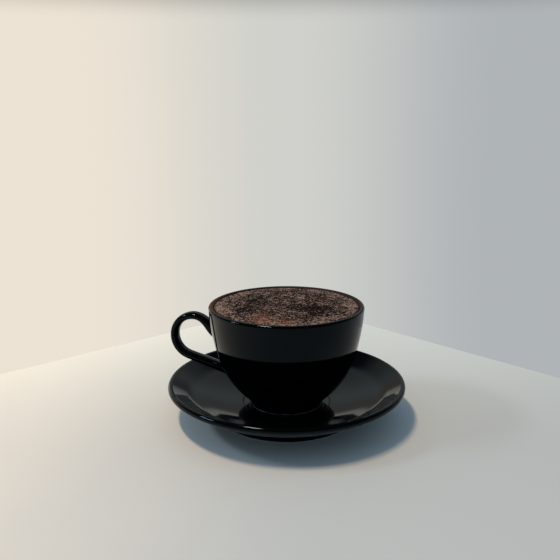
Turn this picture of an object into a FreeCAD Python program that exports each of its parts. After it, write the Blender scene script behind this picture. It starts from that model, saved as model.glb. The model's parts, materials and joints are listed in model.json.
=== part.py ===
import FreeCAD, Part

import math
import os

# A latte in a glazed ceramic cup with a looped handle, standing on its saucer.
# Sizes are in millimetres. Z is up, the saucer stands on Z = 0, and the handle points along -X.

# Cup, with heights from the underside of its foot ring
rimRadius = 48.5
cupHeight = 64.2
cupWall = 3.0
rimLean = 2.8  # degrees that the wall leans outward at the rim
beltInset = 5.9  # how much narrower the cup is where its two wall curves meet
beltDrop = 34.2  # how far below the rim they meet
cupFootRadius = 23.3
cupFootWidth = 3.0
cupFootHeight = 4.0
cupFootFlare = 0.9  # the foot ring is this much wider at its top
cupFootRecess = 3.2
cupFloor = 3.8
footBlend = 2.6
footEdge = 0.7
floorBlend = 9.0

# Handle: its centreline is measured out from the rim's radius and down from the rim, and its
# strap grows from the crown of the loop to the lower arm
crownOut = 14.3
crownDrop = 12.1
shoulderOut = 6.0
shoulderDrop = 15.6
upperRootIn = 7.5
upperRootDrop = 22.9
tipOut = 28.2
tipDrop = 24.4
kneeOut = 18.0
kneeDrop = 39.4
lowerRootIn = 24.5
lowerRootDrop = 52.5
strapThickness = 4.8
armThickness = 6.6
strapWidth = 8.4
strapSquareness = 2.4  # 2 is an ellipse, and larger is squarer
armGrowth = 3  # power of the growth along the strap, so most of it comes in the lower arm
upperSwell = 8.0  # extra height of the strap inside the wall at its upper root
lowerSwell = 3.0
swellLength = 17.0
rootBlend = 2.2

# Saucer
saucerRadius = 75.0
saucerHeight = 23.5
saucerWall = 3.9
saucerFloor = 4.6
saucerFootRadius = 43.6
saucerFootWidth = 3.4
saucerFootRecess = 3.6
saucerFootDraft = 0.5
wellMargin = 4.2  # room around the cup's foot ring in the well
wellStep = 0.6
flangeSlope = 10.0  # degrees, where the flange leaves the well
flangeBendOut = 16.0  # from the well's step to where the flange steepens slightly
flangeBlend = 150.0
rimBandWidth = 11.0  # the steep band between the flange and the rim
rimBandSlope = 32.5  # degrees
bandBlend = 18.0
saucerFootBlend = 2.0
lipRoundness = 0.48  # the lip's corner radius as a share of the wall, where 0.5 is fully round

# Drink
foamDrop = 1.5  # where the foam meets the cup's wall, below the rim
foamEdgeWidth = 2.2
foamEdgeRise = 1.1
foamDome = 2.2  # how far the middle of the foam stands above where it meets the wall


def at(radius, height):
    return FreeCAD.Vector(radius, 0, height)


def tangentCentre(start, direction, end):
    """Centre of the circle that leaves start along direction and passes through end."""
    chord = end - start
    side = FreeCAD.Vector(-direction.z, 0, direction.x)
    return start + side * (chord.dot(chord) / (2 * chord.dot(side)))


def arrival(start, direction, end):
    """Direction in which that circle reaches end."""
    chord = (end - start).normalize()
    return chord * (2 * chord.dot(direction)) - direction


def arcEdge(start, end, centre):
    middle = centre + ((start + end) / 2 - centre).normalize() * start.distanceToPoint(centre)
    return Part.Arc(start, middle, end).toShape()


def lineEdges(points):
    return [Part.makeLine(first, second) for first, second in zip(points, points[1:])]


def roundedEdges(corners):
    """Lines through (point, rounding) pairs, with each inner corner rounded by an arc."""
    edges = []
    last = corners[0][0]
    for (before, _), (corner, rounding), (after, _) in zip(corners, corners[1:], corners[2:]):
        back = (before - corner).normalize()
        ahead = (after - corner).normalize()
        half = back.getAngle(ahead) / 2
        setback = rounding / math.tan(half)
        centre = corner + (back + ahead).normalize() * (rounding / math.sin(half))
        start = corner + back * setback
        end = corner + ahead * setback
        edges.append(Part.makeLine(last, start))
        edges.append(arcEdge(start, end, centre))
        last = end
    edges.append(Part.makeLine(last, corners[-1][0]))
    return edges


def turned(edges):
    """Solid made by turning a closed outline about the Z axis."""
    outline = Part.Wire(Part.__sortEdges__(edges))
    return Part.Face(outline).revolve(FreeCAD.Vector(0, 0, 0), FreeCAD.Vector(0, 0, 1), 360)


def circleEdges(solid, radius, height, reach=0.01):
    """Round edges of the solid that lie at this radius and height."""
    found = []
    for edge in solid.Edges:
        if edge.Degenerated or not isinstance(edge.Curve, Part.Circle):
            continue
        offset = at(edge.Curve.Radius - radius, edge.Curve.Center.z - height)
        if offset.Length < reach:
            found.append(edge)
    return found


class CupWall:
    """The cup's outer wall: an upper and a lower arc that meet smoothly at the belt."""

    def __init__(self):
        self.rim = at(rimRadius, cupHeight - cupWall / 2)
        self.belt = at(rimRadius - beltInset, cupHeight - beltDrop)
        self.foot = at(cupFootRadius + cupFootFlare, cupFootHeight)
        lean = math.radians(rimLean)
        down = at(-math.sin(lean), -math.cos(lean))
        self.up = down * -1
        self.upperCentre = tangentCentre(self.rim, down, self.belt)
        beltDown = arrival(self.rim, down, self.belt)
        self.lowerCentre = tangentCentre(self.belt, beltDown, self.foot)

    def inset(self, point, centre, depth):
        return point + (centre - point).normalize() * depth

    def radiusAt(self, centre, reference, depth, height):
        """Radius of the arc through reference, set in by depth, at this height."""
        arcRadius = reference.distanceToPoint(centre) - depth
        return centre.x + math.sqrt(arcRadius ** 2 - (height - centre.z) ** 2)

    def inside(self, depth, floor, top):
        """Edges from the floor up to the height top, set in from the outer wall by depth."""
        start = at(self.radiusAt(self.lowerCentre, self.belt, depth, floor), floor)
        belt = self.inset(self.belt, self.upperCentre, depth)
        end = at(self.radiusAt(self.upperCentre, self.rim, depth, top), top)
        lower = arcEdge(start, belt, self.lowerCentre)
        upper = arcEdge(belt, end, self.upperCentre)
        return start, end, [lower, upper]


wall = CupWall()
cupFloorHeight = cupFootRecess + cupFloor
cupBase = saucerFootRecess + saucerFloor


def makeBowl():
    innerRim = wall.inset(wall.rim, wall.upperCentre, cupWall)
    crest = (wall.rim + innerRim) / 2 + wall.up * (cupWall / 2)
    floorEdge, _, inside = wall.inside(cupWall, cupFloorHeight, innerRim.z)
    footInner = cupFootRadius - cupFootWidth
    edges = [arcEdge(wall.foot, wall.belt, wall.lowerCentre)]
    edges.append(arcEdge(wall.belt, wall.rim, wall.upperCentre))
    edges.append(Part.Arc(wall.rim, crest, innerRim).toShape())
    edges += inside
    edges += lineEdges([floorEdge, at(0, cupFloorHeight), at(0, cupFootRecess)])
    edges += roundedEdges([
        (at(0, cupFootRecess), 0),
        (at(footInner - cupFootFlare, cupFootRecess), footEdge),
        (at(footInner, 0), footEdge),
        (at(cupFootRadius, 0), footEdge),
        (wall.foot, 0),
    ])
    bowl = turned(edges)
    bowl = bowl.makeFillet(footBlend, circleEdges(bowl, wall.foot.x, wall.foot.z))
    return bowl.makeFillet(floorBlend, circleEdges(bowl, floorEdge.x, cupFloorHeight))


def tangentChain(start, direction, targets):
    """Arcs from start through each target in turn, each leaving as the last one arrived."""
    edges = []
    for target in targets:
        edges.append(arcEdge(start, target, tangentCentre(start, direction, target)))
        direction = arrival(start, direction, target)
        start = target
    return edges


def handleCentreline():
    """Two chains of arcs from the loop's crown: in to the upper root, and out to the lower."""
    def place(out, drop):
        return at(-rimRadius - out, cupHeight - drop)

    crown = place(crownOut, crownDrop)
    inward = [place(shoulderOut, shoulderDrop), place(-upperRootIn, upperRootDrop)]
    outward = [place(tipOut, tipDrop), place(kneeOut, kneeDrop), place(-lowerRootIn, lowerRootDrop)]
    upper = tangentChain(crown, at(1, 0), inward)
    lower = tangentChain(crown, at(-1, 0), outward)
    return upper, lower


def spotAlong(edges, distance):
    """Point and direction at this distance along a chain of edges."""
    for edge in edges:
        if distance <= edge.Length or edge is edges[-1]:
            spot = edge.getParameterByLength(min(distance, edge.Length))
            return edge.valueAt(spot), edge.tangentAt(spot)
        distance -= edge.Length


def strapSection(point, along, thickness, width, corners=16):
    """Closed curve of the strap's section, square to its direction."""
    across = FreeCAD.Vector(0, 1, 0)
    outward = across.cross(along)
    ring = []
    for step in range(corners):
        angle = 2 * math.pi * step / corners
        reach = [math.copysign(abs(part) ** (2 / strapSquareness), part)
                 for part in (math.cos(angle), math.sin(angle))]
        ring.append(point + across * (reach[0] * width / 2) + outward * (reach[1] * thickness / 2))
    curve = Part.BSplineCurve()
    curve.interpolate(ring, PeriodicFlag=True)
    return Part.Wire([curve.toShape()])


def swellAt(distance, height):
    """Extra thickness at this distance from a root's end, fading smoothly to none."""
    return height * max(0, 1 - (distance / swellLength) ** 2) ** 2


def makeHandle(stations=19):
    upper, lower = handleCentreline()
    beforeCrown = sum(edge.Length for edge in upper)
    total = beforeCrown + sum(edge.Length for edge in lower)
    sections = []
    for station in range(stations):
        travelled = total * station / (stations - 1)
        if travelled < beforeCrown:
            point, along = spotAlong(upper, beforeCrown - travelled)
            along = along * -1
        else:
            point, along = spotAlong(lower, travelled - beforeCrown)
        thickness = strapThickness + (armThickness - strapThickness) * (travelled / total) ** armGrowth
        thickness += swellAt(travelled, upperSwell) + swellAt(total - travelled, lowerSwell)
        sections.append(strapSection(point, along, thickness, strapWidth))
    return Part.makeLoft(sections, True, False)


def rootEdges(cup):
    """The two closed edges where the handle meets the bowl, well off the turning axis."""
    closed = [edge for edge in cup.Edges if edge.isClosed() and not edge.Degenerated]
    return [edge for edge in closed if edge.CenterOfMass.x < -cupFootRadius]


def makeCup():
    bowl = makeBowl()
    start, end, midWall = wall.inside(cupWall / 2, cupFloorHeight, cupHeight - cupWall)
    aroundAxis = lineEdges([end, at(0, end.z), at(0, start.z), start])
    handle = makeHandle().cut(turned(midWall + aroundAxis))
    handle = max(handle.Solids, key=lambda solid: solid.Volume)
    cup = bowl.fuse(handle)
    cup = cup.makeFillet(rootBlend, rootEdges(cup))
    return cup.translated(FreeCAD.Vector(0, 0, cupBase))


def offsetCorner(before, corner, after, distance):
    """Corner of the outline that runs parallel to before-corner-after, distance below it."""
    first = (corner - before).normalize()
    second = (after - corner).normalize()
    normals = [FreeCAD.Vector(run.z, 0, -run.x) for run in (first, second)]
    return corner + (normals[0] + normals[1]) * (distance / (1 + normals[0].dot(normals[1])))


def makeSaucer():
    wellRadius = cupFootRadius + wellMargin
    steepness = math.tan(math.radians(flangeSlope))
    flangeStart = at(wellRadius + wellStep, cupBase + wellStep)
    flangeBend = flangeStart + at(flangeBendOut, flangeBendOut * steepness)
    lipCentre = at(saucerRadius - saucerWall / 2, saucerHeight - saucerWall / 2)
    slope = math.radians(rimBandSlope)
    outward = at(math.cos(slope), math.sin(slope)) * (saucerWall / 2)
    upward = at(-math.sin(slope), math.cos(slope)) * (saucerWall / 2)
    rimTop = lipCentre + outward + upward
    underRim = lipCentre + outward - upward
    bandStart = lipCentre + upward - at(rimBandWidth, rimBandWidth * math.tan(slope))
    underBand = offsetCorner(flangeBend, bandStart, rimTop, saucerWall)
    underFlange = offsetCorner(flangeStart, flangeBend, bandStart, saucerWall)
    footOuter = saucerFootRadius + saucerFootDraft
    rise = (underBand.z - underFlange.z) / (underBand.x - underFlange.x)
    footTop = at(footOuter, underFlange.z + rise * (footOuter - underFlange.x))
    footInner = saucerFootRadius - saucerFootWidth
    recessTop = saucerFootRecess + (footInner - wellRadius) * steepness
    lip = lipRoundness * saucerWall
    edges = roundedEdges([
        (at(0, cupBase), 0),
        (at(wellRadius, cupBase), wellStep),
        (flangeStart, wellStep),
        (flangeBend, flangeBlend),
        (bandStart, bandBlend),
        (rimTop, lip),
        (underRim, lip),
        (underBand, bandBlend + saucerWall),
        (footTop, saucerFootBlend),
        (at(saucerFootRadius, 0), footEdge),
        (at(footInner, 0), footEdge),
        (at(footInner - saucerFootDraft, recessTop), footEdge),
        (at(wellRadius, saucerFootRecess), flangeBlend),
        (at(0, saucerFootRecess), 0),
    ])
    edges += lineEdges([at(0, saucerFootRecess), at(0, cupBase)])
    return turned(edges)


def makeLatte():
    foamHeight = cupHeight - foamDrop
    start, end, edges = wall.inside(cupWall, cupFloorHeight, foamHeight)
    middle = at(0, foamHeight + foamDome)
    foamShoulder = at(end.x - foamEdgeWidth, foamHeight + foamEdgeRise)
    outward = at(1, 0)
    edges.append(arcEdge(middle, foamShoulder, tangentCentre(middle, outward, foamShoulder)))
    falling = arrival(middle, outward, foamShoulder)
    edges.append(arcEdge(foamShoulder, end, tangentCentre(foamShoulder, falling, end)))
    edges += lineEdges([middle, at(0, cupFloorHeight), start])
    latte = turned(edges)
    latte = latte.makeFillet(floorBlend, circleEdges(latte, start.x, cupFloorHeight))
    return latte.translated(FreeCAD.Vector(0, 0, cupBase))


os.makedirs("parts", exist_ok=True)
for name, solid in (("cup", makeCup()), ("latte", makeLatte()), ("saucer", makeSaucer())):
    print(name, len(solid.Solids), solid.isValid(), round(solid.Volume), solid.BoundBox)
    solid.exportStep("parts/" + name + ".step")
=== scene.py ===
import bpy
import bmesh
import json
import math
from mathutils import Matrix, Vector

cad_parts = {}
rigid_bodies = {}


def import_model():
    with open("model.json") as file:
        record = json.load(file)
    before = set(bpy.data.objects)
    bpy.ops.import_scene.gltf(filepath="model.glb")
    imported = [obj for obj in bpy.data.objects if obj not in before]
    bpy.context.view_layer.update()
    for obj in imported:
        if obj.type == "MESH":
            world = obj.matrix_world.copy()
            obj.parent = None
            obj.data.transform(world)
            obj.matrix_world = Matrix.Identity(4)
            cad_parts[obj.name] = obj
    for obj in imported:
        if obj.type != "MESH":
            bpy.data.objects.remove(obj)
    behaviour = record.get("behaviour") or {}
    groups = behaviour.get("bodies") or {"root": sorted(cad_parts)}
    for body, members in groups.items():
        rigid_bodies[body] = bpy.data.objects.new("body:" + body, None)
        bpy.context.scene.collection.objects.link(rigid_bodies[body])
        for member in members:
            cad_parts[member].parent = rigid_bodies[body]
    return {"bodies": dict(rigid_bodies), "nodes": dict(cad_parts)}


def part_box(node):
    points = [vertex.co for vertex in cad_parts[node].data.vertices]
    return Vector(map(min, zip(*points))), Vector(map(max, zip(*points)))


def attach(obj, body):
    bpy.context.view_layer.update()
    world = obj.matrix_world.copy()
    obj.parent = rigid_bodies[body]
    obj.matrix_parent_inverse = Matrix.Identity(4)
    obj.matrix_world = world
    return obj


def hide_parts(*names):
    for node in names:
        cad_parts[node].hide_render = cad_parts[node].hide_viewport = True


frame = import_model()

shown = set(frame["nodes"].values()) | set(frame["bodies"].values())
for spare in [thing for thing in bpy.data.objects if thing not in shown]:
    bpy.data.objects.remove(spare)
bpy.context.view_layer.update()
cup = frame["nodes"]["cup"]
saucer = frame["nodes"]["saucer"]
drink = frame["nodes"]["latte"]
cupLow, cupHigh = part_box("cup")
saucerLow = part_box("saucer")[0]
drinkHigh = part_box("latte")[1]
mm = 0.001
gritty = 0.6  # roughness of the noises with more fine detail than usual

cameraSettings = {
    "away": 0.4045,  # metres from the cup's axis, along the floor
    "height": 0.1824,
    "side": 16.0,  # degrees that it stands round from the front
    "turn": -0.556,  # degrees off the axis
    "down": 13.16,
    "roll": 0.218,
    "lens": 43.17,
    "sensor": 36,
    "nearest": 0.01,
}


def addObject(name, data):
    made = bpy.data.objects.new(name, data)
    bpy.context.scene.collection.objects.link(made)
    return made


def makeCamera(settings):
    data = bpy.data.cameras.new("camera")
    data.lens = settings["lens"]
    data.sensor_width = settings["sensor"]
    data.clip_start = settings["nearest"]
    camera = addObject("camera", data)
    stand = Matrix.Rotation(math.radians(settings["side"]), 4, "Z")
    place = Matrix.Translation((0, -settings["away"], settings["height"]))
    look = Matrix.Rotation(math.radians(-settings["turn"]), 4, "Z")
    tilt = Matrix.Rotation(math.radians(90 - settings["down"]), 4, "X")
    roll = Matrix.Rotation(math.radians(-settings["roll"]), 4, "Z")
    camera.matrix_world = stand @ place @ look @ tilt @ roll
    bpy.context.scene.camera = camera


def feed(tree, node, values):
    # links each value that is another node's output, and writes the others on the socket
    for name, value in values.items():
        if isinstance(value, bpy.types.NodeSocket):
            tree.links.new(value, node.inputs[name])
        else:
            node.inputs[name].default_value = value


# the next few make one node each, in a material, a shader group or a geometry tree
def addNode(tree, kind, values=None, **settings):
    made = tree.nodes.new(kind)
    for name, value in settings.items():
        setattr(made, name, value)
    feed(tree, made, values or {})
    return made


def maths(tree, operation, first, second=0.0, clamp=False):
    made = addNode(tree, "ShaderNodeMath", {0: first, 1: second}, operation=operation, use_clamp=clamp)
    return made.outputs[0]


def ramp(tree, value, low, high, toLow=0.0, toHigh=1.0):
    # goes smoothly from toLow at low to toHigh at high
    limits = {"From Min": low, "From Max": high, "To Min": toLow, "To Max": toHigh}
    made = addNode(tree, "ShaderNodeMapRange", {"Value": value, **limits}, interpolation_type="SMOOTHSTEP")
    return made.outputs[0]


def mixColour(tree, factor, first, second, blend="MIX"):
    made = addNode(tree, "ShaderNodeMix", {0: factor, 6: first, 7: second},
                   data_type="RGBA", blend_type=blend)
    return made.outputs[2]


def noiseAt(tree, place, scale, detail=3.0, roughness=0.5):
    made = addNode(tree, "ShaderNodeTexNoise",
                   {"Vector": place, "Scale": scale, "Detail": detail, "Roughness": roughness})
    return made.outputs[0]


def centred(tree, noise):
    # a noise lies round a half, and this moves it to lie round zero
    return maths(tree, "SUBTRACT", noise, 0.5)


def cellsAt(tree, place, scale):
    return addNode(tree, "ShaderNodeTexVoronoi", {"Vector": place, "Scale": scale}).outputs["Distance"]


def vectorMaths(tree, operation, first, second):
    made = addNode(tree, "ShaderNodeVectorMath", {0: first, 1: second}, operation=operation)
    return made.outputs["Value"]


def randomValue(tree, low, high, seed):
    # a number between low and high or, where they are tuples, a vector
    isVector = isinstance(low, tuple)
    first = 0 if isVector else 2
    made = addNode(tree, "FunctionNodeRandomValue", {first: low, first + 1: high, "Seed": seed},
                   data_type="FLOAT_VECTOR" if isVector else "FLOAT")
    return made.outputs[0 if isVector else 1]


def fromAxis(tree, place):
    # x, y, z and the distance from the cup's axis
    x, y, z = addNode(tree, "ShaderNodeSeparateXYZ", {0: place}).outputs
    squared = maths(tree, "ADD", maths(tree, "MULTIPLY", x, x), maths(tree, "MULTIPLY", y, y))
    return x, y, z, maths(tree, "SQRT", squared)


def total(tree, *parts):
    # adds up pairs of a value and its weight
    summed = None
    for value, weight in parts:
        part = maths(tree, "MULTIPLY", value, weight)
        summed = part if summed is None else maths(tree, "ADD", summed, part)
    return summed


def newMaterial(name, plain):
    # plain is what stays the same all over the surface
    made = bpy.data.materials.new(name)
    made.use_nodes = True
    tree = made.node_tree
    tree.nodes.clear()
    shader = addNode(tree, "ShaderNodeBsdfPrincipled", plain)
    addNode(tree, "ShaderNodeOutputMaterial", {"Surface": shader.outputs[0]})
    return made, tree, shader, addNode(tree, "ShaderNodeTexCoord").outputs["Object"]


def bumpFrom(tree, height, strength, distance):
    values = {"Strength": strength, "Distance": distance, "Height": height}
    return addNode(tree, "ShaderNodeBump", values).outputs[0]


def newGroup(name, kind, inputs, outputs):
    # an input's value says what kind of socket it needs, and None is geometry
    kinds = {tuple: "NodeSocketVector", float: "NodeSocketFloat", int: "NodeSocketInt"}
    group = bpy.data.node_groups.new(name, kind)
    for title, value in inputs.items():
        socketKind = kinds.get(type(value), "NodeSocketGeometry")
        socket = group.interface.new_socket(title, in_out="INPUT", socket_type=socketKind)
        if value is not None:
            socket.default_value = value
    socketKind = "NodeSocketFloat" if kind == "ShaderNodeTree" else "NodeSocketGeometry"
    for title in outputs:
        group.interface.new_socket(title, in_out="OUTPUT", socket_type=socketKind)
    return group, group.nodes.new("NodeGroupInput"), group.nodes.new("NodeGroupOutput")


# a span, here and below, is where a change starts and ends, and then its values there if
# they aren't 0 and 1; the scale of a noise or of cells is how many there are in a metre
roomSettings = {
    "floorCorner": (-0.071, 0.260),  # where the two back edges of the table top meet
    "floorTurn": 31.0,  # degrees between its right edge and the X axis
    "floorReach": 2.5,
    "floorGap": 0.04 * mm,  # under the saucer's foot ring
    # painted light: the table top is coloured brighter and warmer on the left, where more light falls, and
    # dimmer and cooler on the right
    "floorLitWarm": (0.775, 0.595, 0.455, 1),
    "floorDimCool": (0.490, 0.430, 0.375, 1),
    "floorSideSpan": (-0.24, 0.06),  # painted light: from the lit, warm left to the dim, cool right
    "floorWanderScale": 9.0,
    "floorWander": 0.05,
    "floorPlain": (1, 1, 1, 1),
    "floorBackLight": (1.40, 1.40, 1.32, 1),  # painted light: brighter and warmer towards the back
    "floorBackLightSpan": (-0.06, 0.24),
    # painted shade: darker and bluer towards the front, out of sight, where the cup's glaze reflects it
    "floorFrontShade": (0.72, 0.77, 0.82, 1),
    "floorFrontShadeSpan": (-0.15, -0.45),
    "floorFinish": {"Roughness": 0.75, "Specular IOR Level": 0.2},
    "wallWarm": (0.84, 0.765, 0.66, 1),
    "wallMiddle": (0.63, 0.635, 0.60, 1),
    "wallCool": (0.43, 0.455, 0.475, 1),
    "wallLeftSpan": (-0.30, 0.0),
    "wallRightSpan": (0.0, 0.30),
    "wallDimSpan": (0.135, 0.20, 1.0, 0.38),  # upward
    "wallAbove": (0.46, 0.52, 0.51, 1),  # the lit upper wall, which shows only in the glaze
    "wallAboveSpan": (0.35, 0.72),  # away from the camera
    "roomAbove": (0.05, 0.065, 0.085, 1),
    "roomAboveSpan": (0.22, 0.44),
    "ceilingSpan": (0.62, 0.80),
    "behindSpan": (-0.75, -0.10, 0.45, 1.0),  # the side behind the camera is dim too
    "ambient": (0.25, 0.40, 0.56, 1),
    "ambientStrength": 1.32,
    "keyColour": (1.0, 0.90, 0.72),
    "keyPower": 16.0,
    "keySize": (0.42, 0.11),
    "keyFrom": (-0.295, -0.10, 0.95),  # in the camera's frame: right, away, up
    "keyAway": 1.6,
    "windowColour": (0.52, 0.75, 1.0),
    "windowPower": 4.9,
    "windowSize": (0.32, 0.11),
    "windowFrom": (-0.77, -0.04, 0.60),
    "windowAway": 1.3,
}


def viewParts(tree, direction):
    # how far a direction or place points to the camera's right, away from it and up
    side = math.radians(cameraSettings["side"])
    rightward = vectorMaths(tree, "DOT_PRODUCT", direction, (math.cos(side), math.sin(side), 0))
    onward = vectorMaths(tree, "DOT_PRODUCT", direction, (-math.sin(side), math.cos(side), 0))
    upward = addNode(tree, "ShaderNodeSeparateXYZ", {0: direction}).outputs["Z"]
    return rightward, onward, upward


def makeFloor(settings):
    corner = Vector((*settings["floorCorner"], -settings["floorGap"]))
    turn = math.radians(settings["floorTurn"])
    right = Vector((math.cos(turn), -math.sin(turn), 0)) * settings["floorReach"]
    left = Vector((-math.sin(turn), -math.cos(turn), 0)) * settings["floorReach"]
    corners = [corner, corner + left, corner + left + right, corner + right]
    mesh = bpy.data.meshes.new("floor")
    mesh.from_pydata(corners, [], [(0, 1, 2, 3)])
    material, tree, shader, place = newMaterial("floor_paint", settings["floorFinish"])
    rightward, onward, _ = viewParts(tree, place)
    noise = noiseAt(tree, place, settings["floorWanderScale"], 2.0)
    wander = maths(tree, "MULTIPLY", noise, settings["floorWander"])
    # painted light: brighter and warmer on the left, dimmer and cooler on the right
    side = ramp(tree, maths(tree, "ADD", rightward, wander), *settings["floorSideSpan"])
    colour = mixColour(tree, side, settings["floorLitWarm"], settings["floorDimCool"])
    # painted light: the floor is coloured brighter and warmer towards the back
    back = ramp(tree, onward, *settings["floorBackLightSpan"])
    # painted shade: the floor is coloured darker and bluer towards the front, out of sight
    front = ramp(tree, onward, *settings["floorFrontShadeSpan"])
    depth = mixColour(tree, back, settings["floorPlain"], settings["floorBackLight"])
    depth = mixColour(tree, front, depth, settings["floorFrontShade"])
    feed(tree, shader, {"Base Color": mixColour(tree, 1.0, colour, depth, "MULTIPLY")})
    mesh.materials.append(material)
    addObject("floor", mesh)


def makeWorld(settings):
    world = bpy.data.worlds.new("room")
    bpy.context.scene.world = world
    world.use_nodes = True
    tree = world.node_tree
    tree.nodes.clear()
    direction = addNode(tree, "ShaderNodeTexCoord").outputs["Generated"]
    rightward, onward, upward = viewParts(tree, direction)

    def blend(value, span, first, second):
        return mixColour(tree, ramp(tree, value, *settings[span]), first, second)

    def dim(colour, value, span):
        return mixColour(tree, 1.0, colour, ramp(tree, value, *settings[span]), "MULTIPLY")

    wall = blend(rightward, "wallLeftSpan", settings["wallWarm"], settings["wallMiddle"])
    wall = blend(rightward, "wallRightSpan", wall, settings["wallCool"])
    wall = dim(wall, upward, "wallDimSpan")
    above = blend(onward, "wallAboveSpan", settings["roomAbove"], settings["wallAbove"])
    wall = blend(upward, "roomAboveSpan", wall, above)
    wall = blend(upward, "ceilingSpan", wall, settings["roomAbove"])
    wall = dim(wall, onward, "behindSpan")

    # the camera, gloss and glass see the wall, and everything else gets the even light
    rays = addNode(tree, "ShaderNodeLightPath").outputs
    seen = maths(tree, "ADD", rays["Is Camera Ray"], rays["Is Glossy Ray"], True)
    seen = maths(tree, "ADD", seen, rays["Is Transmission Ray"], True)
    ambient = addNode(tree, "ShaderNodeBackground",
                      {"Color": settings["ambient"], "Strength": settings["ambientStrength"]})
    backdrop = addNode(tree, "ShaderNodeBackground", {"Color": wall, "Strength": 1.0})
    mixed = addNode(tree, "ShaderNodeMixShader", {0: seen, 1: ambient.outputs[0], 2: backdrop.outputs[0]})
    addNode(tree, "ShaderNodeOutputWorld", {"Surface": mixed.outputs[0]})


def makeLamp(name, colour, power, size, fromView, away):
    data = bpy.data.lights.new(name, "AREA")
    data.shape = "RECTANGLE"
    data.size, data.size_y = size
    data.energy = power
    data.color = colour
    side = Matrix.Rotation(math.radians(cameraSettings["side"]), 3, "Z")
    direction = side @ Vector(fromView).normalized()
    facing = direction.to_track_quat("Z", "Y").to_matrix().to_4x4()
    addObject(name, data).matrix_world = Matrix.Translation(direction * away) @ facing


def makeRoom(settings):
    makeFloor(settings)
    makeWorld(settings)
    for name in ("key", "window"):
        makeLamp(name, *[settings[name + part] for part in ("Colour", "Power", "Size", "From", "Away")])


glazeSettings = {
    "body": (0.0006, 0.0007, 0.0009, 1),
    # the bluish Specular Tint is a painted reflection colour: it tints every reflection in the glaze blue,
    # standing for the bluish shade the glaze reflects
    "finish": {"IOR": 1.235, "Specular Tint": (0.66, 0.86, 1.0, 1)},
    "roughness": 0.045,
    "waveSize": 20 * mm,
    "peelSize": 1.5 * mm,
    "peelShare": 0.04,
    "bumpStrength": 0.12,
    "bumpDistance": 0.25 * mm,
    "hazeScale": 90.0,
    "hazeSpan": (0.35, 0.75, 1.0, 1.8),  # how much rougher the glaze gets in places
    "speckScale": 420.0,
    "speckSpan": (0.10, 0.16, 1.0, 0.0),
    "rareScale": 260.0,  # specks show only where this noise is high
    "rareSpan": (0.66, 0.72),
    "speckShare": 0.10,
    "dust": (0.16, 0.12, 0.10, 1),
    "bare": (0.30, 0.28, 0.265, 1),  # the wiped edge under each foot ring
    "bareHeight": 0.55 * mm,
    "bareScale": 240.0,
    "bareSpan": (0.45, 0.65, 1.0, 0.0),
    "bareRoughness": 0.6,
    "stain": (0.024, 0.0085, 0.0040, 1),  # dried coffee and cocoa on the lip
    "stainShare": 0.95,
    "stainRoughness": 0.60,
    "stainDepth": 2.4 * mm,
    "stainWhole": 0.6,  # the share of that depth from which it is whole
    "stainOuter": 1.2 * mm,  # where it ends and where it is whole, in from the cup's outside
    "stainInner": 2.1 * mm,
    "stainScale": 170.0,
    "stainRagged": 3.0 * mm,
    "drip": (0.075, 0.026, 0.012, 1),  # thicker and redder where it was drunk from
    "dripAt": (-46 * mm, -13 * mm, cupHigh.z),
    "dripSpan": (8 * mm, 26 * mm, 1.0, 0.0),
    "dripWidth": 1.5 * mm,  # how much further out the film reaches there
}


def glazeGroup(settings):
    # slow waves and fine orange peel of a fired glaze, with the odd settled speck
    group, given, result = newGroup(
        "glaze_surface", "ShaderNodeTree",
        {"Place": (0, 0, 0), "Wave Size": settings["waveSize"], "Peel Size": settings["peelSize"],
         "Roughness": settings["roughness"], "Foot Level": 0.0, "Bare Height": settings["bareHeight"]},
        ("Height", "Roughness", "Specks", "Bare"))
    want = given.outputs
    place = want["Place"]
    waves = noiseAt(group, place, maths(group, "DIVIDE", 1.0, want["Wave Size"]), 2.0)
    peel = noiseAt(group, place, maths(group, "DIVIDE", 1.0, want["Peel Size"]), 1.0)
    haze = ramp(group, noiseAt(group, place, settings["hazeScale"], 4.0, gritty), *settings["hazeSpan"])
    cells = ramp(group, cellsAt(group, place, settings["speckScale"]), *settings["speckSpan"])
    rare = ramp(group, noiseAt(group, place, settings["rareScale"], 1.0), *settings["rareSpan"])
    # the glaze is wiped off where the piece stood in the kiln
    z = fromAxis(group, place)[2]
    uneven = maths(group, "MULTIPLY", noiseAt(group, place, settings["bareScale"], 2.0), want["Bare Height"])
    above = maths(group, "SUBTRACT", maths(group, "SUBTRACT", z, want["Foot Level"]), uneven)
    bare = ramp(group, maths(group, "DIVIDE", above, want["Bare Height"]), *settings["bareSpan"])
    rough = maths(group, "MULTIPLY", haze, want["Roughness"])
    feed(group, result, {
        "Height": total(group, (waves, 1.0), (peel, settings["peelShare"])),
        "Roughness": maths(group, "ADD", rough, maths(group, "MULTIPLY", bare, settings["bareRoughness"])),
        "Specks": maths(group, "MULTIPLY", cells, rare),
        "Bare": bare})
    return group


def glazeMaterial(name, settings, surface, footLevel):
    material, tree, shader, place = newMaterial(name, settings["finish"])
    look = addNode(tree, "ShaderNodeGroup", {
        "Place": place, "Roughness": settings["roughness"], "Foot Level": footLevel,
        "Bare Height": settings["bareHeight"]}, node_tree=surface).outputs
    specks = maths(tree, "MULTIPLY", look["Specks"], settings["speckShare"])
    colour = mixColour(tree, specks, settings["body"], settings["dust"])
    colour = mixColour(tree, look["Bare"], colour, settings["bare"])
    bump = bumpFrom(tree, look["Height"], settings["bumpStrength"], settings["bumpDistance"])
    feed(tree, shader, {"Base Color": colour, "Roughness": look["Roughness"], "Normal": bump})
    return material, tree, shader, place, colour, look["Roughness"]


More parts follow.
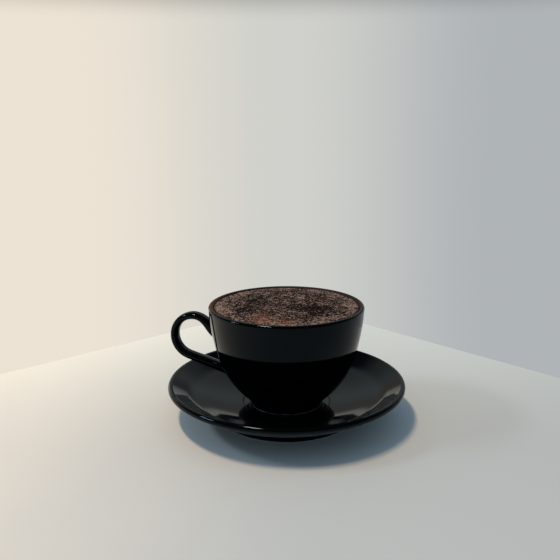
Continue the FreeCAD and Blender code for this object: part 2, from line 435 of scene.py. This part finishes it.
def stainCup(settings, tree, shader, place, colour, roughness):
    # coffee and cocoa dry to a brown film on the lip, thicker towards the drink
    _, _, z, radius = fromAxis(tree, place)
    patchy = centred(tree, noiseAt(tree, place, settings["stainScale"], 3.0, gritty))
    edge = total(tree, (radius, 1.0), (patchy, settings["stainRagged"]))
    gap = vectorMaths(tree, "DISTANCE", place, settings["dripAt"])
    drip = ramp(tree, gap, *settings["dripSpan"])
    edge = total(tree, (edge, 1.0), (drip, -settings["dripWidth"]))
    inner = cupHigh.x - settings["stainInner"]
    inward = ramp(tree, edge, inner, cupHigh.x - settings["stainOuter"], 1.0, 0.0)
    depth = settings["stainDepth"]
    high = ramp(tree, z, cupHigh.z - depth, cupHigh.z - settings["stainWhole"] * depth)
    film = maths(tree, "MULTIPLY", inward, high)
    stain = mixColour(tree, drip, settings["stain"], settings["drip"])
    share = maths(tree, "MULTIPLY", film, settings["stainShare"])
    feed(tree, shader, {
        "Base Color": mixColour(tree, share, colour, stain),
        "Roughness": total(tree, (roughness, 1.0), (film, settings["stainRoughness"]))})


def dressCeramic(settings):
    surface = glazeGroup(settings)
    cupMaterial, *cupParts = glazeMaterial("cup_glaze_black", settings, surface, cupLow.z)
    stainCup(settings, *cupParts)
    saucerMaterial = glazeMaterial("saucer_glaze_black", settings, surface, saucerLow.z)[0]
    for piece, material in ((cup, cupMaterial), (saucer, saucerMaterial)):
        for slot in piece.material_slots:
            slot.material = material


cocoaSettings = {
    "foam": (0.232, 0.134, 0.095, 1),
    "thin": (0.055, 0.0285, 0.0193, 1),
    "cover": (0.0170, 0.0076, 0.0054, 1),
    "heaped": (0.0040, 0.0015, 0.0012, 1),
    "layers": {"thin": (0.12, 0.34), "cover": (0.32, 0.54), "heaped": (0.54, 0.82)},
    "paintedLight": (0.210, 0.066, 0.031, 1),  # painted light: a warm pool of light that turns the cocoa orange brown
    "paintedLightShare": 0.85,
    "paintedLightCoverSpan": (0.60, 0.34),  # the painted light shows less on heaped cocoa
    "ring": (0.030, 0.0115, 0.0060, 1),  # the wet edge where the foam meets the lip
    "ringScale": 330.0,
    "ringRagged": 1.6 * mm,
    "ringInner": 1.1 * mm,  # from this far inside the wall to this far past it
    "ringOuter": 0.2 * mm,
    "finish": {"Specular IOR Level": 0.05},
    "foamRoughnessSpan": (0.25, 0.60, 0.50, 0.92),  # bare foam is moister than dry cocoa
    "bumpStrength": 0.8,
    "bumpDistance": 0.5 * mm,
    "grain": (0.0100, 0.0045, 0.0032, 1),
    "grainPale": (0.16, 0.098, 0.072, 1),
    "grainPaleSpan": (0.15, 0.60, 1.0, 0.0),
    # how much of the painted warm light the loose grains take
    "grainPaintedLightShare": 0.6,
    "grainRoughnessSpan": (0.3, 0.7, 0.7, 0.95),
    "grainSizes": {"Dust Size": 1.2 * mm, "Grain Size": 2.0 * mm},
    "sizes": {"Dust Size": 0.5 * mm, "Grain Size": 1.1 * mm, "Clump Size": 3.0 * mm, "Drift Size": 12.0 * mm},
    "details": {"Dust": 2.0, "Grain": 2.0, "Clump": 3.0, "Drift": 3.0},
    "coverLevel": 0.5,
    "coverWeights": {"Dust": 2.0, "Grain": 3.2, "Clump": 1.7, "Drift": 1.2},
    "rimStart": 0.62,  # the share of the way out to the wall where the cocoa starts to thin
    "rimWeight": -0.22,
    "patches": (  # centre and reach in millimetres, how much more cocoa lies there
        ((-26, 4), 14, 0.22), ((-17, -2), 17, 0.08), ((17, -4), 18, 0.24), ((28, -9), 16, 0.22),
        ((6, -10), 16, 0.08), ((12, 6), 14, 0.10), ((-10, 17), 18, 0.10), ((-20, -22), 17, 0.24),
        ((22, -23), 16, 0.16), ((-38, -19), 11, -0.24), ((-45, -5), 9, -0.16), ((41, 10), 12, -0.16),
        ((26, 20), 16, -0.06), ((36, -12), 14, 0.12)),
    # patches of painted warm light near the front, and the noise that breaks them up
    "paintedLightPatches": (((-9, -28), 11, 0.8), ((-3, -37), 11, 1.1), ((10, -35), 11, 1.0), ((-6, -21), 9, 0.4)),
    "paintedLightWeights": {"Grain": 2.2, "Clump": 2.0, "Drift": 1.0},
    "paintedLightSpan": (0.20, 0.85),
    "reliefWeights": {"Dust": 0.5, "Grain": 1.0},
}


def patchSum(tree, place, patches):
    # soft round patches, each 1 at its centre and 0 at its reach, added up by weight
    parts = []
    for (x, y), reach, weight in patches:
        gap = vectorMaths(tree, "DISTANCE", place, (x * mm, y * mm, drinkHigh.z))
        parts.append((ramp(tree, gap, 0.0, reach * mm, 1.0, 0.0), weight))
    return total(tree, *parts)


def cocoaGroup(settings):
    # where the cocoa lies thick or thin, where warm light is painted on it, and how it stands up
    inputs = {"Place": (0, 0, 0), **settings["sizes"]}
    group, given, result = newGroup("cocoa_cover", "ShaderNodeTree", inputs, ("Cover", "Wet", "Relief"))
    place = given.outputs["Place"]
    layers = {}
    for name, detail in settings["details"].items():
        scale = maths(group, "DIVIDE", 1.0, given.outputs[name + " Size"])
        layers[name] = centred(group, noiseAt(group, place, scale, detail, gritty))

    def weighed(weights):
        return [(layers[name], weight) for name, weight in settings[weights].items()]

    radius = fromAxis(group, place)[3]
    rim = ramp(group, radius, settings["rimStart"] * drinkHigh.x, drinkHigh.x)
    cover = total(group, *weighed("coverWeights"), (rim, settings["rimWeight"]))
    cover = maths(group, "ADD", cover, settings["coverLevel"])
    cover = maths(group, "ADD", cover, patchSum(group, place, settings["patches"]))
    # painted light: warm orange patches near the front
    paintedLightAmount = patchSum(group, place, settings["paintedLightPatches"])
    paintedLight = ramp(group, total(group, (paintedLightAmount, 1.0), *weighed("paintedLightWeights")), *settings["paintedLightSpan"])
    feed(group, result, {"Cover": cover, "Wet": paintedLight, "Relief": total(group, *weighed("reliefWeights"))})
    return group


def foamMaterial(settings, cocoa):
    material, tree, shader, place = newMaterial("cocoa_on_foam", settings["finish"])
    look = addNode(tree, "ShaderNodeGroup", {"Place": place}, node_tree=cocoa).outputs
    colour = settings["foam"]
    for name, span in settings["layers"].items():
        colour = mixColour(tree, ramp(tree, look["Cover"], *span), colour, settings[name])
    # painted warm light over the cocoa, less where it is heaped
    paintedLightAmount = maths(tree, "MULTIPLY", look["Wet"], ramp(tree, look["Cover"], *settings["paintedLightCoverSpan"]))
    paintedLightAmount = maths(tree, "MULTIPLY", paintedLightAmount, settings["paintedLightShare"])
    colour = mixColour(tree, paintedLightAmount, colour, settings["paintedLight"])
    radius = fromAxis(tree, place)[3]
    noise = noiseAt(tree, place, settings["ringScale"], 3.0, gritty)
    ragged = total(tree, (radius, 1.0), (noise, settings["ringRagged"]))
    ring = ramp(tree, ragged, drinkHigh.x - settings["ringInner"], drinkHigh.x + settings["ringOuter"])
    feed(tree, shader, {
        "Base Color": mixColour(tree, ring, colour, settings["ring"]),
        "Roughness": ramp(tree, look["Cover"], *settings["foamRoughnessSpan"]),
        "Normal": bumpFrom(tree, look["Relief"], settings["bumpStrength"], settings["bumpDistance"])})
    return material


def grainMaterial(settings, cocoa):
    material, tree, shader, place = newMaterial("cocoa_powder", settings["finish"])
    values = {"Place": place, **settings["grainSizes"]}
    look = addNode(tree, "ShaderNodeGroup", values, node_tree=cocoa).outputs
    tone = ramp(tree, look["Cover"], *settings["grainPaleSpan"])
    colour = mixColour(tree, tone, settings["grain"], settings["grainPale"])
    # painted warm light on the loose grains too
    paintedLightAmount = maths(tree, "MULTIPLY", look["Wet"], settings["grainPaintedLightShare"])
    feed(tree, shader, {
        "Base Color": mixColour(tree, paintedLightAmount, colour, settings["paintedLight"]),
        "Roughness": ramp(tree, look["Cover"], *settings["grainRoughnessSpan"])})
    return material


foamSettings = {
    "rings": 125,
    "ringSpread": 0.85,  # below 1, the rings lie closer together towards the wall
    "segments": 460,
    "domeRoom": 0.2 * mm,  # left under the drink's highest level for the relief
    "domeDrop": 1.05 * mm,  # from the middle to near the wall
    "edgeDrop": 0.65 * mm,  # and from there down to the wall
    "edgeWidth": 2.2 * mm,
    "intoWall": 0.25 * mm,
    "capDepth": 5.2 * mm,
    "coffeeLap": 0.2 * mm,  # how far the coffee reaches up into the cap
    "mergeWithin": 0.001 * mm,
    "sizes": {
        "Swell Size": 17 * mm,
        "Swell Height": 0.35 * mm,
        "Clump Size": 2.6 * mm,
        "Clump Height": 0.30 * mm,
        "Bubble Size": 1.5 * mm,
        "Bubble Depth": 0.16 * mm,
        "Calm Width": 2.5 * mm,  # the relief dies out towards the wall
    },
    "calmSpan": (0.0, 1.0, 0.15, 1.0),
    "topSpan": (0.1 * mm, 0.4 * mm),  # above the cap's underside, which stays flat
    "details": {"Swell": 1.0, "Clump": 2.0},
    "bubbleSpan": (0.05, 0.35, 1.0, 0.0),
}


def runTree(thing, tree, values):
    # puts the tree on the object, sets its inputs and keeps the result as a plain mesh
    modifier = thing.modifiers.new(tree.name, "NODES")
    modifier.node_group = tree
    for socket in tree.interface.items_tree:
        if socket.item_type == "SOCKET" and socket.in_out == "INPUT" and socket.name in values:
            modifier[socket.identifier] = values[socket.name]
    thing.update_tag()
    bpy.context.view_layer.update()
    evaluated = thing.evaluated_get(bpy.context.evaluated_depsgraph_get())
    made = bpy.data.meshes.new_from_object(evaluated)
    thing.modifiers.remove(modifier)
    thing.data = made
    made.name = thing.name


def finishTree(tree, result, geometry, material):
    realized = addNode(tree, "GeometryNodeRealizeInstances", {"Geometry": geometry}).outputs[0]
    finished = addNode(tree, "GeometryNodeSetMaterial", {"Geometry": realized, "Material": material})
    feed(tree, result, {"Geometry": finished.outputs[0]})


def reliefTree(settings, values, material):
    # slow swells, clumps and burst bubbles on the domed cap
    tree, given, result = newGroup(
        "foam_relief", "GeometryNodeTree", {"Geometry": None, **values}, ("Geometry",))
    want = given.outputs
    place = addNode(tree, "GeometryNodeInputPosition").outputs[0]
    _, _, z, radius = fromAxis(tree, place)
    inside = maths(tree, "SUBTRACT", want["Wall Radius"], radius)
    calm = ramp(tree, maths(tree, "DIVIDE", inside, want["Calm Width"]), *settings["calmSpan"])
    top = ramp(tree, maths(tree, "SUBTRACT", z, want["Base Level"]), *settings["topSpan"])
    raised = []
    for name, detail in settings["details"].items():
        layer = noiseAt(tree, place, maths(tree, "DIVIDE", 1.0, want[name + " Size"]), detail)
        height = maths(tree, "MULTIPLY", want[name + " Height"], 2.0)  # a noise spans half each way
        raised.append((centred(tree, layer), height))
    cells = cellsAt(tree, place, maths(tree, "DIVIDE", 1.0, want["Bubble Size"]))
    burst = maths(tree, "MULTIPLY", ramp(tree, cells, *settings["bubbleSpan"]), -1.0)
    raised.append((burst, want["Bubble Depth"]))
    lift = maths(tree, "MULTIPLY", maths(tree, "MULTIPLY", total(tree, *raised), calm), top)
    offset = addNode(tree, "ShaderNodeCombineXYZ", {"Z": lift}).outputs[0]
    moved = addNode(tree, "GeometryNodeSetPosition", {"Geometry": want["Geometry"], "Offset": offset})
    finishTree(tree, result, moved.outputs[0], material)
    return tree


def foamLevel(settings, radius):
    # height of the domed cap before its relief
    share = min(radius / drinkHigh.x, 1.0)
    edge = max(0.0, 1 - (drinkHigh.x - radius) / settings["edgeWidth"])
    dome = drinkHigh.z - settings["domeRoom"] - settings["domeDrop"] * share ** 2
    return dome - settings["edgeDrop"] * edge ** 2


def makeFoam(settings, material):
    outer = drinkHigh.x + settings["intoWall"]
    base = drinkHigh.z - settings["capDepth"]
    segments = settings["segments"]
    angles = [2 * math.pi * step / segments for step in range(segments)]
    profile = []
    for ring in range(1, settings["rings"] + 1):
        radius = outer * (ring / settings["rings"]) ** settings["ringSpread"]
        profile.append((radius, foamLevel(settings, radius)))
    mesh = bmesh.new()
    middle = mesh.verts.new((0, 0, foamLevel(settings, 0)))
    rows = []
    for radius, z in profile + [(outer, base)]:
        spots = [(radius * math.cos(angle), radius * math.sin(angle), z) for angle in angles]
        rows.append([mesh.verts.new(spot) for spot in spots])
    for first, second in zip(rows, rows[1:]):
        for step in range(segments):
            after = (step + 1) % segments
            mesh.faces.new((first[step], second[step], second[after], first[after]))
    for step in range(segments):
        mesh.faces.new((middle, rows[0][step], rows[0][(step + 1) % segments]))
    mesh.faces.new(rows[-1])
    bmesh.ops.recalc_face_normals(mesh, faces=mesh.faces)
    data = bpy.data.meshes.new("milk_foam")
    mesh.to_mesh(data)
    mesh.free()
    for face in data.polygons:
        face.use_smooth = True
    foam = addObject("milk_foam", data)
    values = {**settings["sizes"], "Wall Radius": drinkHigh.x, "Base Level": base}
    runTree(foam, reliefTree(settings, values, material), values)
    return foam


def makeCoffee(settings, material):
    # the drink under the foam, down to the cup's floor
    mesh = bmesh.new()
    mesh.from_mesh(drink.data)
    bmesh.ops.remove_doubles(mesh, verts=mesh.verts, dist=settings["mergeWithin"])
    level = drinkHigh.z - settings["capDepth"] + settings["coffeeLap"]
    bmesh.ops.bisect_plane(mesh, geom=mesh.verts[:] + mesh.edges[:] + mesh.faces[:],
                           plane_co=(0, 0, level), plane_no=(0, 0, 1), clear_outer=True)
    bmesh.ops.holes_fill(mesh, edges=[edge for edge in mesh.edges if edge.is_boundary])
    data = bpy.data.meshes.new("coffee_and_milk")
    mesh.to_mesh(data)
    mesh.free()
    data.materials.append(material)
    return addObject("coffee_and_milk", data)


scatterSettings = {
    "sizes": {
        "Seed": 11,
        "Grains Per Area": 1.15e6,  # at most, in a square metre
        "Smallest": 0.10 * mm,
        "Largest": 0.46 * mm,
        "Heap Size": 9.0 * mm,
        "Lip Grains": 320,
        "Lip Spread": 1.1 * mm,
    },
    "seeds": {"size": 2, "form": 3, "turn": 4, "lip": 5},
    "heapSpan": (0.35, 0.62, 0.35, 1.0),
    "wallSpan": (0.3 * mm, 3.0 * mm, 0.15, 1.0),  # fewer grains near the wall
    "leastFacing": 0.5,  # none on the cap's sides and underside
    "lipScale": 110.0,
    "lipAbove": 0.53,  # the lip holds grains only where that noise is above this
    "lipRound": 0.48,  # the lip's corner radius as a share of the wall
    "smallness": 2.6,  # many small grains, few large ones
    "leastForm": (0.75, 0.75, 0.45),
    "mostForm": (1.35, 1.15, 0.85),
    "leastTurn": (-0.5, -0.5, 0.0),
    "mostTurn": (0.5, 0.5, 6.28),
}


def foamSpots(settings, tree, want, place, radius):
    # points on the foam's top, crowded in heaps
    heaps = noiseAt(tree, place, maths(tree, "DIVIDE", 1.0, want["Heap Size"]), 3.0, gritty)
    density = maths(tree, "MULTIPLY", ramp(tree, heaps, *settings["heapSpan"]), want["Grains Per Area"])
    inside = maths(tree, "SUBTRACT", want["Wall Radius"], radius)
    density = maths(tree, "MULTIPLY", density, ramp(tree, inside, *settings["wallSpan"]))
    normal = addNode(tree, "GeometryNodeInputNormal").outputs[0]
    facing = addNode(tree, "ShaderNodeSeparateXYZ", {0: normal}).outputs["Z"]
    upward = maths(tree, "GREATER_THAN", facing, settings["leastFacing"])
    density = maths(tree, "MULTIPLY", density, upward)
    spots = addNode(tree, "GeometryNodeDistributePointsOnFaces",
                    {"Mesh": want["Geometry"], "Density": density, "Seed": want["Seed"]})
    return spots.outputs["Points"]


def lipSpots(settings, tree, want, place, x, y):
    # points that start on a ring and are moved over the lip's round top
    ring = addNode(tree, "GeometryNodeMeshCircle",
                   {"Vertices": want["Lip Grains"], "Radius": want["Lip Radius"]}).outputs[0]
    aside = randomValue(tree, -1.0, 1.0, settings["seeds"]["lip"])
    shift = maths(tree, "MULTIPLY", aside, want["Lip Spread"])
    scale = maths(tree, "ADD", 1.0, maths(tree, "DIVIDE", shift, want["Lip Radius"]))
    squared = maths(tree, "MULTIPLY", shift, shift)
    drop = maths(tree, "DIVIDE", squared, maths(tree, "MULTIPLY", want["Lip Round"], 2.0))
    lipPlace = addNode(tree, "ShaderNodeCombineXYZ", {
        "X": maths(tree, "MULTIPLY", x, scale), "Y": maths(tree, "MULTIPLY", y, scale),
        "Z": maths(tree, "SUBTRACT", want["Lip Level"], drop)}).outputs[0]
    lip = addNode(tree, "GeometryNodeSetPosition", {"Geometry": ring, "Position": lipPlace}).outputs[0]
    crowding = noiseAt(tree, place, settings["lipScale"], 3.0, gritty)
    crowded = maths(tree, "GREATER_THAN", crowding, settings["lipAbove"])
    return addNode(tree, "GeometryNodeMeshToPoints", {"Mesh": lip, "Selection": crowded}).outputs[0]


def scatterTree(settings, values, material):
    # loose grains of cocoa, heaped here and there on the foam, and a few on the cup's lip
    tree, given, result = newGroup(
        "cocoa_scatter", "GeometryNodeTree", {"Geometry": None, **values}, ("Geometry",))
    want = given.outputs
    seeds = settings["seeds"]
    place = addNode(tree, "GeometryNodeInputPosition").outputs[0]
    x, y, _, radius = fromAxis(tree, place)
    together = addNode(tree, "GeometryNodeJoinGeometry")
    feed(tree, together, {0: foamSpots(settings, tree, want, place, radius)})
    feed(tree, together, {0: lipSpots(settings, tree, want, place, x, y)})

    grain = addNode(tree, "GeometryNodeMeshIcoSphere", {"Radius": 1.0, "Subdivisions": 1}).outputs[0]
    share = maths(tree, "POWER", randomValue(tree, 0.0, 1.0, seeds["size"]), settings["smallness"])
    spread = maths(tree, "SUBTRACT", want["Largest"], want["Smallest"])
    size = maths(tree, "ADD", want["Smallest"], maths(tree, "MULTIPLY", share, spread))
    form = randomValue(tree, settings["leastForm"], settings["mostForm"], seeds["form"])
    shape = addNode(tree, "ShaderNodeVectorMath", {0: form, "Scale": size}, operation="SCALE").outputs[0]
    turn = randomValue(tree, settings["leastTurn"], settings["mostTurn"], seeds["turn"])
    grains = addNode(tree, "GeometryNodeInstanceOnPoints",
                     {"Points": together.outputs[0], "Instance": grain, "Rotation": turn, "Scale": shape})
    finishTree(tree, result, grains.outputs[0], material)
    return tree


def makeGrains(settings, foam, material):
    grains = addObject("cocoa_grains", foam.data.copy())
    wall = cupHigh.x - drinkHigh.x
    values = {
        **settings["sizes"], "Wall Radius": drinkHigh.x, "Lip Radius": cupHigh.x - 0.5 * wall,
        "Lip Level": cupHigh.z, "Lip Round": settings["lipRound"] * wall}
    runTree(grains, scatterTree(settings, values, material), values)
    return grains


def dressDrink():
    cocoa = cocoaGroup(cocoaSettings)
    cover = foamMaterial(cocoaSettings, cocoa)
    foam = makeFoam(foamSettings, cover)
    coffee = makeCoffee(foamSettings, cover)
    grains = makeGrains(scatterSettings, foam, grainMaterial(cocoaSettings, cocoa))
    for piece in (foam, coffee, grains):
        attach(piece, "root")
        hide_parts("latte")
        print(piece.name, len(piece.data.polygons), "faces")


makeCamera(cameraSettings)
makeRoom(roomSettings)
print("room, lamps and camera ready")
dressCeramic(glazeSettings)
print("glaze ready")
dressDrink()
print("drink ready")

bpy.context.scene.view_settings.view_transform = "Standard"
bpy.context.view_layer.update()
